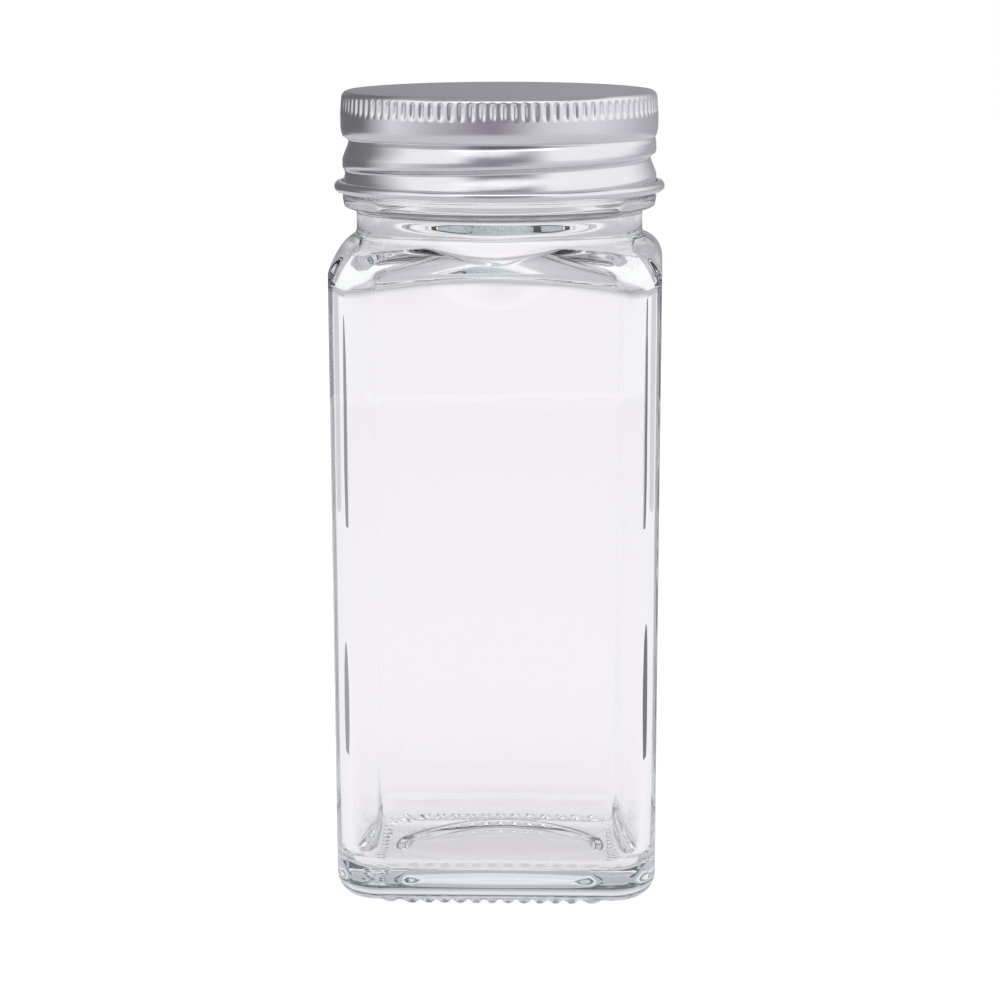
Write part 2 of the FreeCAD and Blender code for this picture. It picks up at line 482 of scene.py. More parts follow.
NATURAL_POLYPROPYLENE = PalePlastic(
    name="natural_polypropylene",
    colour="#F5F6FA",
    roughness=0.34,
    grain_size=1.4,
    grain_height=0.004,
    glow=0.35,
    glow_depth=1.6,
    clearness=0.25,
)
FOAMED_POLYETHYLENE = PalePlastic(
    name="foamed_polyethylene",
    colour="#EDEDEA",
    roughness=0.75,
    grain_size=0.35,
    grain_height=0.03,
    glow=0.25,
)
WHITE_LACQUER = PalePlastic(
    name="baked_white_lacquer", colour="#F6F6F6", roughness=0.3, grain_size=0.6, grain_height=0.002
)


@dataclass(frozen=True)
class ThreadRun:
    """One right-hand thread that climbs anticlockwise, with an upper and a lower flank.

    It grows in from start to full and dies away from fading to end, which are all turns in degrees.
    """

    PER_INCH: ClassVar[int] = 6

    front_height: float
    depth: float
    start: float
    full: float
    fading: float
    end: float
    upper: float
    lower: float
    steepness: float = 1.0
    ceiling: float = 1000.0
    easing: float = 0.5
    lead: float = INCH / PER_INCH

    def middle(self, turn: float) -> float:
        """Measures how high the thread has climbed, easing level at its ceiling.

        Args:
            turn: How far it has turned, in degrees.

        Returns:
            The height of its middle.
        """
        height = self.front_height + self.lead * (turn - FRONT) / FULL_TURN
        over = height - self.ceiling + self.easing
        if over <= 0.0:
            return height
        over = min(over, 2 * self.easing)
        return self.ceiling - self.easing + over - over * over / (4 * self.easing)

    def section(self, aside: float) -> float:
        """Measures the thread's section: steepness hollows the upper flank and straightens the lower.

        Args:
            aside: Distance above the thread's middle.

        Returns:
            The share of the full depth there.
        """
        share = min(abs(aside) / (self.upper if aside >= 0.0 else self.lower), 1.0)
        wave = (1.0 + math.cos(math.pi * share)) / 2
        if aside < 0.0:
            return wave * (2.0 - self.steepness) + (1.0 - share) * (self.steepness - 1.0)
        return wave**self.steepness

    def offset(self, angle: float, height: float) -> float:
        """Measures the thread at one place.

        Args:
            angle: Direction in radians.
            height: Height of the place.

        Returns:
            How far the thread stands out, or is pressed in, there.
        """
        deepest = 0.0
        turn = math.degrees(angle) % FULL_TURN
        while turn < self.end:
            if turn > self.start:
                rise = smoothstep(self.start, self.full, turn)
                fall = 1.0 - smoothstep(self.fading, self.end, turn)
                depth = self.depth * rise * fall * self.section(height - self.middle(turn))
                deepest = max(deepest, depth)
            turn += FULL_TURN
        return deepest


@dataclass
class Shoulder:
    """A square body's sloping top: a round over the walls, a flat cone and a round root."""

    HOLD: ClassVar[float] = 0.5
    HALVINGS: ClassVar[int] = 24

    half: float
    corner: float
    crest: float
    slope: float
    size: float
    neck: float
    root: float
    rise: float

    def ring_radius(self, angle: float, tilt: float) -> float:
        """Returns the radius of the round at an angle where it has turned by tilt."""
        inset = self.size * (1.0 - math.cos(tilt))
        return polar_radius(angle, self.half - inset, self.corner - inset)

    def last_tilt(self, angle: float) -> float:
        """Finds how far the round turns before the cone or the neck's root.

        Args:
            angle: Direction in radians.

        Returns:
            The last tilt of the round in radians.
        """
        low, high = 0.0, math.pi / 2 - math.radians(self.slope)
        limit = self.neck + self.root
        if self.ring_radius(angle, high) >= limit:
            return high
        for _ in range(self.HALVINGS):
            middle = (low + high) / 2
            if self.ring_radius(angle, middle) >= limit:
                low = middle
            else:
                high = middle
        return low

    def over(self, angle: float, share: float) -> Vector:
        """Walks over the round and up the cone.

        Args:
            angle: Direction in radians.
            share: How much of the way from the wall to the neck's root is done.

        Returns:
            The place reached.
        """
        slope = math.radians(self.slope)
        full = math.pi / 2 - slope
        drop = (self.half - self.ring_radius(angle, full)) * math.tan(slope)
        wall_top = self.crest + drop - self.size * math.sin(full)
        tilt = self.last_tilt(angle)
        arc = self.size * tilt
        line = max(self.ring_radius(angle, tilt) - self.neck - self.root, 0.0) / math.cos(slope)
        gone = share * (arc + line)
        tilt = min(gone, arc) / self.size
        ahead = max(gone - arc, 0.0)
        radius = self.ring_radius(angle, tilt) - ahead * math.cos(slope)
        height = wall_top + self.size * math.sin(tilt) + ahead * math.sin(slope)
        return at_angle(angle, radius, height)

    def into_neck(self, angle: float, share: float) -> Vector:
        """Walks up the curve of the neck's root.

        Args:
            angle: Direction in radians.
            share: How much of the way from the shoulder to the neck is done.

        Returns:
            The place reached.
        """
        start = self.over(angle, 1.0).z
        lean = math.tan(math.pi / 2 - self.last_tilt(angle))
        outer = Vector((self.neck + self.root, start))
        aim = outer + Vector((-1.0, lean)).normalized() * self.root * self.HOLD
        top = Vector((self.neck, self.crest + self.rise))
        hold = top - Vector((0.0, (top.y - start) * self.HOLD))
        rest = 1.0 - share
        point = outer * rest**3 + aim * (3 * rest**2 * share)
        point += hold * (3 * rest * share**2) + top * share**3
        return at_angle(angle, point.x, point.y)


@dataclass
class GlassJar:
    """The jar: a blown square body with a round neck, a thick floor and a ribbed base."""

    half: float
    rim: float
    draw_in: float = 0.7
    corner: float = 6.0
    heel: float = 3.5
    foot: float = 0.45
    shoulder: float = 89.75
    slope: float = 10.0
    shoulder_round: float = 4.0
    side_wall: float = 2.0
    shoulder_wall: float = 1.7
    floor: float = 4.5
    cavity_corner: float = 5.0
    cavity_heel: float = 3.6
    cavity_slope: float = 16.0
    cavity_shoulder_round: float = 4.2
    cavity_root: float = 2.0
    cavity_rise: float = 4.0
    push_up_radius: float = 14.9
    push_up_depth: float = 1.3
    push_up_crown: float = 0.25
    push_up_edge: float = 0.86
    rib_count: int = 56
    rib_radius: float = 0.8
    rib_flat: float = 0.08
    rib_start: float = 16.3
    rib_end: float = 19.5
    rib_end_rise: float = 0.5
    rib_end_length: float = 0.6
    rib_turn: float = 5.0
    neck: float = 19.7
    bore: float = 17.5
    bore_step: float = 2.5
    bore_gap: float = 0.4
    neck_root: float = 0.9
    neck_rise: float = 1.3
    neck_start: float = 92.2
    ring_bottom: float = 93.5
    ring_swell: float = 94.05
    ring_edge: float = 95.3
    ring_top: float = 95.7
    ring_reach: float = 1.9
    ring_lean: float = 0.22
    ring_root_round: float = 0.4
    ring_swell_round: float = 0.55
    ring_edge_round: float = 0.3
    ring_top_round: float = 0.25
    ring_step: float = 0.5
    finish_gap: float = 0.8
    finish_step: float = 0.36
    rim_round: float = 0.8
    mouth_round: float = 0.7
    mouth_depth: float = 2.0
    thread_fade_start: float = 1.6
    thread_fade_end: float = 0.8
    wall_swell: float = 0.05
    turn_swell: float = 0.12
    swell_size: float = 11.0
    columns: int = 408
    crowding: float = 0.3
    push_up_rows: int = 14
    strip_rows: int = 8
    heel_rows: int = 15
    wall_rows: int = 10
    shoulder_rows: int = 20
    root_rows: int = 7
    cavity_root_rows: int = 12
    cavity_shoulder_rows: int = 14
    cavity_wall_rows: int = 16
    cavity_heel_rows: int = 12
    floor_rows: int = 10
    finish: ClearGlass = ClearGlass()
    thread: ThreadRun = ThreadRun(
        front_height=101.3, depth=1.2, start=215.0, full=245.0, fading=675.0, end=705.0,
        upper=1.3, lower=1.3,
    )

    def half_at(self, height: float) -> float:
        """Returns the outer half width at a height, along the lean of the walls."""
        return self.half - self.draw_in * (self.shoulder - height) / (self.shoulder - self.foot)

    def with_ribs(self, place: Vector) -> Vector:
        """Lowers a place on the base to the bar that crosses it, if there is one.

        Args:
            place: A place on the plain base.

        Returns:
            The place on the ribbed base.
        """
        flat = self.rib_start - self.rib_turn
        core = Vector((min(max(place.x, -flat), flat), min(max(place.y, -flat), flat)))
        out = place.to_2d() - core
        reach = flat + out.length
        if not self.rib_start < reach < self.rib_end:
            return place
        side = round(math.atan2(out.y, out.x) / (math.pi / 2))
        spin = Matrix.Rotation(-side * math.pi / 2, 2)
        bearing = spin @ out
        quarter = 2 * flat + self.rib_turn * math.pi / 2
        along = side * quarter + (spin @ core).y + flat
        along += self.rib_turn * math.atan2(bearing.y, bearing.x)
        pitch = 4 * quarter / self.rib_count
        fan = out.length / self.rib_turn if abs(core.x) == flat == abs(core.y) else 1.0
        aside = (along / pitch - round(along / pitch)) * pitch * fan
        if abs(aside) >= self.rib_radius:
            return place
        crown = self.rib_radius - self.rib_flat - math.sqrt(self.rib_radius**2 - aside**2)
        end = min(reach - self.rib_start, self.rib_end - reach)
        crown += self.rib_end_rise * (1.0 - min(end / self.rib_end_length, 1.0)) ** 2
        return Vector((place.x, place.y, min(place.z, max(crown, 0.0))))

    def grow_base(self, loft: RingLoft) -> None:
        """Grows the shallow pan, the bearing strip and the heel, with the bars that it stands on.

        Args:
            loft: The skin, which starts at the middle of the base.
        """
        flat_half = self.half_at(self.foot) - self.heel
        flat_corner = self.corner - self.heel

        def pan(angle: float, share: float) -> Vector:
            """Returns a place in the push-up, from its middle outwards."""
            reach = 1.0 - (1.0 - share) ** 2
            rise = self.push_up_depth * (1.0 - self.push_up_crown * reach**2)
            rise *= 1.0 - smoothstep(self.push_up_edge, 1.0, reach)
            return at_angle(angle, self.push_up_radius * reach, self.foot + rise)

        def strip(angle: float, share: float) -> Vector:
            """Returns a place between the pan and the heel."""
            edge = polar_radius(angle, flat_half, flat_corner)
            radius = self.push_up_radius + (edge - self.push_up_radius) * share
            return self.with_ribs(at_angle(angle, radius, self.foot))

        def round_heel(angle: float, share: float) -> Vector:
            """Returns a place on the heel, from the strip upwards."""
            tilt = share * math.pi / 2
            inset = self.heel * (1.0 - math.sin(tilt))
            height = self.foot + self.heel * (1.0 - math.cos(tilt))
            radius = polar_radius(angle, self.half_at(height) - inset, self.corner - inset)
            return self.with_ribs(at_angle(angle, radius, height))

        loft.grow_steps(shares(self.push_up_rows), pan)
        loft.grow_steps(shares(self.strip_rows), strip)
        loft.grow_steps(shares(self.heel_rows), round_heel)

    def grow_outside(self, loft: RingLoft) -> None:
        """Grows the walls, the shoulder and the root of the neck.

        Args:
            loft: The skin, grown as far as the heel.
        """
        top = Shoulder(
            half=self.half_at(self.shoulder),
            corner=self.corner,
            crest=self.shoulder,
            slope=self.slope,
            size=self.shoulder_round,
            neck=self.neck,
            root=self.neck_root,
            rise=self.neck_rise,
        )
        bottom = self.foot + self.heel

        def wall(angle: float, share: float) -> Vector:
            """Returns a place on the outer wall."""
            height = bottom + (top.over(angle, 0.0).z - bottom) * share
            return at_angle(angle, polar_radius(angle, self.half_at(height), self.corner), height)

        loft.grow_steps(shares(self.wall_rows), wall)
        loft.grow_steps(shares(self.shoulder_rows), top.over)
        loft.grow_steps(shares(self.root_rows), top.into_neck)

    def grow_neck(self, loft: RingLoft) -> None:
        """Grows the neck, the transfer ring, the threaded finish, the rim and the mouth.

        Args:
            loft: The skin, grown as far as the root of the neck.
        """
        ring = self.neck + self.ring_reach
        start = self.ring_top + self.finish_gap
        transfer_ring = [
            (self.neck, self.neck_start, 0),
            (self.neck, self.ring_bottom, self.ring_root_round),
            (ring - self.ring_lean, self.ring_swell, self.ring_swell_round),
            (ring, self.ring_edge, self.ring_edge_round),
            (ring, self.ring_top, self.ring_top_round),
            (self.neck, self.ring_top, self.ring_root_round),
            (self.neck, start, 0),
        ]
        finish = [
            (self.neck, start, 0),
            (self.neck, self.rim, self.rim_round),
            (self.bore, self.rim, self.mouth_round),
            (self.bore, self.rim - self.mouth_depth, 0),
        ]
        loft.grow_profile(rounded_path(transfer_ring, self.ring_step))
        loft.grow_profile(rounded_path(finish, self.finish_step)[1:], self.thread_on_finish)

    def thread_on_finish(self, angle: float, height: float) -> float:
        """Returns how far the thread stands out of the neck, fading out below the rim."""
        fade = smoothstep(self.rim - self.thread_fade_start, self.rim - self.thread_fade_end, height)
        return self.thread.offset(angle, height) * (1.0 - fade)

    def swollen(self, place: Vector, amount: float) -> Vector:
        """Returns a place on the blown inside, moved by the slow unevenness of blown glass."""
        drift = noise.noise(place / self.swell_size) * amount
        return place + place.to_2d().normalized().to_3d() * drift

    def grow_inside(self, loft: RingLoft) -> None:
        """Grows the bore down into the blown cavity, its walls and its floor.

        Args:
            loft: The skin, grown as far as the mouth.
        """
        under = Shoulder(
            half=self.half_at(self.shoulder - self.shoulder_wall) - self.side_wall,
            corner=self.cavity_corner,
            crest=self.shoulder - self.shoulder_wall,
            slope=self.cavity_slope,
            size=self.cavity_shoulder_round,
            neck=self.bore,
            root=self.cavity_root,
            rise=self.cavity_rise,
        )
        bottom = self.floor + self.cavity_heel

        def turned(angle: float, share: float) -> Vector:
            """Returns a place under the shoulder."""
            return self.swollen(under.over(angle, share), self.turn_swell)

        def wall(angle: float, share: float) -> Vector:
            """Returns a place on the inner wall, counted downwards."""
            height = bottom + (under.over(angle, 0.0).z - bottom) * (1.0 - share)
            radius = polar_radius(angle, self.half_at(height) - self.side_wall, self.cavity_corner)
            return self.swollen(at_angle(angle, radius, height), self.wall_swell)

        def round_floor(angle: float, share: float) -> Vector:
            """Returns a place on the round between wall and floor."""
            tilt = share * math.pi / 2
            inset = self.cavity_heel * (1.0 - math.cos(tilt))
            height = bottom - self.cavity_heel * math.sin(tilt)
            half = self.half_at(height) - self.side_wall - inset
            return at_angle(angle, polar_radius(angle, half, self.cavity_corner - inset), height)

        def floor(angle: float, share: float) -> Vector:
            """Returns a place on the floor, drawing in to the middle."""
            edge = round_floor(angle, 1.0).to_2d().length
            return at_angle(angle, edge * (1.0 - share) + loft.POLE_RADIUS * share, self.floor)

        bore_bottom = under.crest + under.rise + self.bore_gap
        bore = [(self.bore, self.rim - self.mouth_depth, 0), (self.bore, bore_bottom, 0)]
        loft.grow_profile(rounded_path(bore, self.bore_step)[1:])
        loft.grow_steps(reversed([0.0, *shares(self.cavity_root_rows)]), under.into_neck)
        loft.grow_steps(reversed(shares(self.cavity_shoulder_rows)[:-1]), turned)
        loft.grow_steps([0.0, *shares(self.cavity_wall_rows)], wall)
        loft.grow_steps(
            shares(self.cavity_heel_rows),
            lambda angle, share: self.swollen(round_floor(angle, share), self.turn_swell),
        )
        loft.grow_steps(shares(self.floor_rows), floor)

    def build(self) -> None:
        """Builds the jar as one closed skin, from under the base up and back down inside."""
        loft = RingLoft(self.columns, self.crowding, self.foot + self.push_up_depth)
        self.grow_base(loft)
        self.grow_outside(loft)
        self.grow_neck(loft)
        self.grow_inside(loft)
        finish_piece(loft.close(), "glass_jar", Body.JAR, "flint_glass", self.finish.material())


@dataclass
class ShakerInsert:
    """The moulded plug that sits in the neck, with a flange on the rim and a sieve."""

    flange: float
    top: float
    bottom: float
    plug: float = 17.2
    wall: float = 1.0
    end_round: float = 0.3
    flange_thickness: float = 1.0
    flange_round: float = 0.35
    flange_root_round: float = 0.15
    snap: float = 17.4
    snap_rise: float = 1.1
    snap_height: float = 1.2
    snap_round: float = 0.3
    snap_root_round: float = 0.2
    sieve_thickness: float = 1.2
    hole_diameter: float = 3.8
    hole_round: float = 0.2
    hole_sides: int = 32
    hole_turn: float = 30.0
    ring_step: float = 5.6
    ring_counts: tuple[int, ...] = (1, 6, 12)
    step: float = 1.5
    columns: int = 192
    finish: PalePlastic = NATURAL_POLYPROPYLENE

    def build(self) -> None:
        """Spins the plug and flange, then fills in the sieve round its holes."""
        rest = self.top - self.flange_thickness
        inner = self.plug - self.wall
        sieve_bottom = rest - self.sieve_thickness
        snap_bottom = self.bottom + self.snap_rise
        corners = [
            (inner - 2 * self.hole_round, sieve_bottom, 0),
            (inner, sieve_bottom, self.hole_round),
            (inner, self.bottom, self.end_round),
            (self.plug, self.bottom, self.end_round),
            (self.plug, snap_bottom, self.snap_root_round),
            (self.snap, snap_bottom + self.snap_height / 2, self.snap_round),
            (self.plug, snap_bottom + self.snap_height, self.snap_root_round),
            (self.plug, rest, self.flange_root_round),
            (self.flange, rest, self.flange_root_round),
            (self.flange, self.top, self.flange_round),
            (inner, self.top, self.flange_round),
            (inner, rest, self.hole_round),
            (inner - 2 * self.hole_round, rest, 0),
        ]
        mesh = spun(rounded_path(corners, self.step), self.columns)
        for ring, count in enumerate(self.ring_counts):
            for index in range(count):
                self.add_hole(mesh, at_angle(math.tau * index / count, ring * self.ring_step, rest))
        for level in (rest, sieve_bottom):
            edges = [
                edge
                for edge in mesh.edges
                if edge.is_boundary and all(abs(vert.co.z - level) < SAME_PLACE for vert in edge.verts)
            ]
            bmesh.ops.triangle_fill(mesh, edges=edges, use_beauty=True)
        slot = "natural_polypropylene"
        finish_piece(mesh, "shaker_insert", Body.SHAKER, slot, self.finish.material())

    def add_hole(self, mesh: BMesh, place: Vector) -> None:
        """Adds the wall of one round hole with eased edges.

        Args:
            mesh: The skin of the insert.
            place: Middle of the hole on the sieve's top.
        """
        radius = self.hole_diameter / 2
        lip = radius + 2 * self.hole_round
        corners = [
            (lip, 0.0, 0),
            (radius, 0.0, self.hole_round),
            (radius, -self.sieve_thickness, self.hole_round),
            (lip, -self.sieve_thickness, 0),
        ]
        middle = Matrix.Translation(place)
        made = bmesh.ops.create_circle(mesh, segments=self.hole_sides, radius=lip, matrix=middle)
        ring = list(dict.fromkeys(edge for vert in made["verts"] for edge in vert.link_edges))
        for reach, drop in rounded_path(corners, self.sieve_thickness, self.hole_turn)[1:]:
            fresh, ring = extruded(mesh, ring)
            for vert in fresh:
                out = (vert.co - place).to_2d().normalized() * reach
                vert.co = place + out.to_3d() + Vector((0.0, 0.0, drop))


@dataclass
class CapLiner:
    """The foam disc inside the top of the cap, marked by the flange that it seals on."""

    radius: float
    bottom: float
    top: float
    edge_round: float = 0.25
    mark_inner: float = 16.4
    mark_outer: float = 19.3
    mark_depth: float = 0.12
    mark_width: float = 0.25
    step: float = 3.0
    columns: int = 160
    finish: PalePlastic = FOAMED_POLYETHYLENE

    def mark(self, radius: float) -> list[Triple]:
        """Returns the corners of one fine groove where an edge of the flange bites."""
        low, width = self.bottom, self.mark_width
        return [(radius - width, low, 0), (radius, low + self.mark_depth, 0), (radius + width, low, 0)]

    def build(self) -> None:
        """Spins the disc with the marks that the flange has pressed into it."""
        corners = [
            (0.0, self.bottom, 0),
            *self.mark(self.mark_inner),
            *self.mark(self.mark_outer),
            (self.radius, self.bottom, self.edge_round),
            (self.radius, self.top, self.edge_round),
            (0.0, self.top, 0),
        ]
        mesh = spun(rounded_path(corners, self.step), self.columns)
        finish_piece(mesh, "cap_liner", Body.LINER, "white_foam", self.finish.material())


@dataclass
class ScrewCap:
    """The drawn metal cap: a flat top, a fluted band, a rolled thread and a curled edge.

    Each fineness is the longest step and the largest turn between points of that stretch.
    """

    reach: float
    top: float
    bottom: float
    wall: float = 0.35
    slack: float = 0.02
    curl: float = 0.75
    curl_end: float = 105.0
    curl_inner_points: int = 6
    curl_outer_points: int = 12
    band_step: float = 0.25
    band_height: float = 5.5
    step_height: float = 1.0
    step_lean: float = 20.0
    step_round: float = 4.5
    step_foot_round: float = 0.3
    ledge: float = 0.6
    ledge_round: float = 0.5
    inside_round: float = 0.5
    inside_rise: float = 1.0
    top_round: float = 1.0
    crown: float = 0.2
    crown_width: float = 2.4
    flute_count: int = 96
    flute_depth: float = 0.22
    flute_sharpness: float = 2.5
    flute_uneven: float = 0.35
    flute_lean: float = 0.2
    flute_drop: float = 0.7
    flute_length: float = 2.5
    flute_foot: float = 0.5
    flute_head: float = 0.4
    thread_clearance: float = 0.3
    thread_fade: float = 2.0
    lid_fineness: tuple[float, float] = (0.45, 11.0)
    skirt_fineness: tuple[float, float] = (0.26, 6.0)
    inside_fineness: tuple[float, float] = (0.8, 20.0)
    under_fineness: tuple[float, float] = (6.0, 30.0)
    columns: int = 864
    finish: SatinAluminium = SatinAluminium()
    lining: PalePlastic = WHITE_LACQUER
    thread: ThreadRun = ThreadRun(
        front_height=99.7, depth=0.85, start=140.0, full=240.0, fading=610.0, end=745.0,
        upper=1.1, lower=2.4, steepness=1.7, ceiling=103.95,
    )

    def profile(self) -> Profile:
        """Follows the section of the sheet, over the outside, round the curl and up inside.

        Returns:
            The points of the section as (radius, height).
        """
        inner = self.reach - 2 * self.curl
        outer = inner + self.wall
        band = outer + self.band_step
        lining = inner + self.band_step
        step_top = self.top - self.band_height
        step_bottom = step_top - self.step_height
        step_inset = self.step_height * math.tan(math.radians(self.step_lean))
        curl_height = self.bottom + self.curl
        flute_end = self.top - self.flute_drop - self.flute_length
        inside_top = step_top + self.inside_rise

        def arc(radius: float, first: float, last: float, count: int) -> Profile:
            """Returns points on the curl between two angles."""
            turns = [math.radians(first + (last - first) * share) for share in (0.0, *shares(count))]
            middle = inner + self.curl
            return [(middle + radius * math.cos(a), curl_height + radius * math.sin(a)) for a in turns]

        lid = [
            (band - 2 * self.crown_width, self.top, 0),
            (band - self.crown_width, self.top, self.crown_width),
            (band - self.flute_lean, self.top - self.crown, self.top_round),
            (band, flute_end, 0),
        ]
        skirt = [
            (band, flute_end, 0),
            (band, step_top, self.step_round),
            (band - step_inset, step_bottom, self.step_foot_round),
            (outer, step_bottom - self.ledge, self.ledge_round),
            (outer, curl_height, 0),
        ]
        inside = [
            (inner, curl_height, 0),
            (inner, step_bottom, self.inside_round),
            (lining, step_top + self.ledge, self.inside_round),
            (lining, inside_top, 0),
        ]
        under = [
            (lining, inside_top, 0),
            (lining, self.top - self.wall, self.top_round - self.wall),
            (0.0, self.top - self.wall, 0),
        ]
        last = FULL_TURN + self.curl_end
        points = [(0.0, self.top)] + rounded_path(lid, *self.lid_fineness)
        points += rounded_path(skirt, *self.skirt_fineness)[1:]
        points += arc(self.curl - self.wall, HALF_TURN, last, self.curl_inner_points)[1:]
        points += arc(self.curl, last, HALF_TURN, self.curl_outer_points)
        points += rounded_path(inside, *self.inside_fineness)[1:]
        return points + rounded_path(under, *self.under_fineness)[1:]

    def flute(self, angle: float, height: float) -> float:
        """Measures the flutes at one place on the band.

        Args:
            angle: Direction in radians.
            height: Height of the place.

        Returns:
            How deep a flute is pressed in there.
        """
        wave = ((1.0 + math.cos(angle * self.flute_count)) / 2) ** self.flute_sharpness
        drift = noise.noise(at_angle(angle, self.flute_count / math.tau, 0.0))
        depth = self.flute_depth * wave * (1.0 + self.flute_uneven * drift)
        high = self.top - self.flute_drop
        low = high - self.flute_length
        ends = smoothstep(low, low + self.flute_foot, height)
        return depth * ends * (1.0 - smoothstep(high - self.flute_head, high, height))

    def pressed(self, angle: float, radius: float, height: float) -> float:
        """Measures the tooling at one place: flutes outside the band, and the thread below it.

        Args:
            angle: Direction in radians.
            radius: Radius of the plain sheet.
            height: Height of the place.

        Returns:
            How far the sheet is pressed in there.
        """
        curl_middle = self.bottom + self.curl
        curl_top = curl_middle + self.curl + self.thread_clearance
        band = self.top - self.band_height - self.step_height
        inner = self.reach - 2 * self.curl
        outer = inner + self.wall
        if radius > inner + self.band_step + self.slack and height > band:
            return self.flute(angle, height)
        if not inner - self.slack < radius < outer + self.band_step + self.slack or height <= curl_middle:
            return 0.0
        room = smoothstep(curl_middle, curl_top, height)
        room *= 1.0 - smoothstep(band, band + self.thread_fade, height)
        return self.thread.offset(angle, height) * room

    def build(self) -> None:
        """Spins the sheet, presses in the flutes, rolls in the thread and lacquers the inside."""
        mesh = spun(self.profile(), self.columns)
        for vert in mesh.verts:
            radius = vert.co.to_2d().length
            angle = math.atan2(vert.co.y, vert.co.x)
            vert.co = at_angle(angle, radius - self.pressed(angle, radius, vert.co.z), vert.co.z)
        bmesh.ops.recalc_face_normals(mesh, faces=mesh.faces)
        core = Vector((0.0, 0.0, (self.top + self.bottom) / 2))
        for face in mesh.faces:
            face.material_index = int(face.normal.dot(core - face.calc_center_median()) > 0.0)
        outside, inside = self.finish.material(), self.lining.material()
        finish_piece(mesh, "screw_cap", Body.CAP, "cap_aluminium", outside, inside)


@dataclass(frozen=True)
class WallPaper:
    """Greys of a round studio wall, by direction from the front, low down and high up."""

    name: str
    height: float
    shade_start: float
    shade_full: float
    low: Stops
    high: Stops

    def ramp(self, tree: NodeTree, share: NodeSocket, stops: Stops) -> Node:
        """Adds a colour ramp round the turn, with the front at a half.

        Args:
            tree: Node tree of the material.
            share: Socket that gives the share of the turn.
            stops: Directions from the front and their greys.

        Returns:
            The ramp, whose first output is the colour.
        """
        node = add_node(tree, "ValToRGB", {"Fac": share})
        elements = node.color_ramp.elements
        elements.remove(elements[-1])
        for bearing, code in stops:
            elements.new(bearing / FULL_TURN + 0.5).color = linear(code)
        elements.remove(elements[0])
        return node

    def material(self) -> Material:
        """Mixes the lit paper: it changes round the turn and shades up the wall.

        Returns:
            The material.
        """
        material, tree = new_tree(self.name)
        place = add_node(tree, "TexCoord").outputs["Object"]
        axes = add_node(tree, "SeparateXYZ", {0: place}).outputs
        ahead = add_node(tree, "Math", {0: axes["Y"], 1: -1.0}, operation="MULTIPLY")
        bearing = add_node(tree, "Math", {0: axes["X"], 1: ahead}, operation="ARCTAN2")
        whole = {"From Min": -math.pi, "From Max": math.pi}
        share = add_node(tree, "MapRange", {"Value": bearing, **whole}).outputs[0]
        shade = {"From Min": self.shade_start * MM, "From Max": self.shade_full * MM, "Value": axes["Z"]}
        rise = add_node(tree, "MapRange", shade, interpolation_type="SMOOTHSTEP")
        # The mix takes its two colours at inputs 6 and 7 and gives the result at output 2.
        ramps = {6: self.ramp(tree, share, self.low), 7: self.ramp(tree, share, self.high)}
        grey = add_node(tree, "Mix", {0: rise, **ramps}, data_type="RGBA").outputs[2]
        glow = add_node(tree, "Emission", {"Color": grey, "Strength": 1.0})
        add_node(tree, "OutputMaterial", {"Surface": glow})
        return material


METAL_WALL = WallPaper(
    "wall_in_metal",
    height=640.0,
    shade_start=95.0,
    shade_full=165.0,
    low=(
        (-180.0, "#9F9DA3"), (-150.0, "#706F72"), (-112.0, "#706F72"), (-80.0, "#E6E4EA"),
        (-45.0, "#B4B2B9"), (0.0, "#88848F"), (30.0, "#D8D6DC"), (70.0, "#E6E4EA"),
        (130.0, "#B8B6BC"), (180.0, "#9F9DA3"),
    ),
    high=(
        (-180.0, "#9F9DA3"), (-150.0, "#706F72"), (-112.0, "#7D7C7F"), (-76.0, WHITE),
        (-32.0, WHITE), (-14.0, "#8E8A96"), (20.0, "#8E8A96"), (42.0, WHITE),
        (118.0, WHITE), (160.0, "#9F9DA3"), (180.0, "#9F9DA3"),
    ),
)
GLASS_WALL = WallPaper(
    "wall_through_glass",
    height=380.0,
    shade_start=25.0,
    shade_full=110.0,
    low=((-180.0, "#F8F5F9"), (180.0, "#F8F5F9")),
    high=((-180.0, "#C3C1C8"), (180.0, "#C3C1C8")),
)


@dataclass(frozen=True)
class Flag:
    """An oval grey sheet beside the object, for the corners of the glass to gather; the near ones are
    painted shadow.
    """

    name: str
    bearing: float
    reach: float
    width: float
    low: float
    high: float
    grey: str


FLAGS = (
    Flag("left_wide_flag", bearing=-138.0, reach=320.0, width=190.0, low=-40.0, high=110.0, grey="#D2D1D7"),
    Flag("left_far_flag", bearing=-104.0, reach=300.0, width=60.0, low=-6.0, high=44.0, grey="#8F8D8C"),
    # Painted shadow: a grey sheet on the floor close to the jar that stands in for the jar's own shadow,
    # seen only in the glass corners.
    Flag("left_floor_shadow_sheet", bearing=-104.0, reach=100.0, width=26.0, low=-3.0, high=19.0, grey="#9A9897"),
    Flag("right_wide_flag", bearing=138.0, reach=320.0, width=190.0, low=-40.0, high=110.0, grey="#D2D1D7"),
    Flag("right_far_flag", bearing=106.0, reach=300.0, width=60.0, low=-6.0, high=44.0, grey="#68666A"),
    # Painted shadow: a grey sheet on the floor close to the jar that stands in for the jar's own shadow,
    # seen only in the glass corners.
    Flag("right_floor_shadow_sheet", bearing=106.0, reach=100.0, width=26.0, low=-3.0, high=21.0, grey="#68666A"),
)


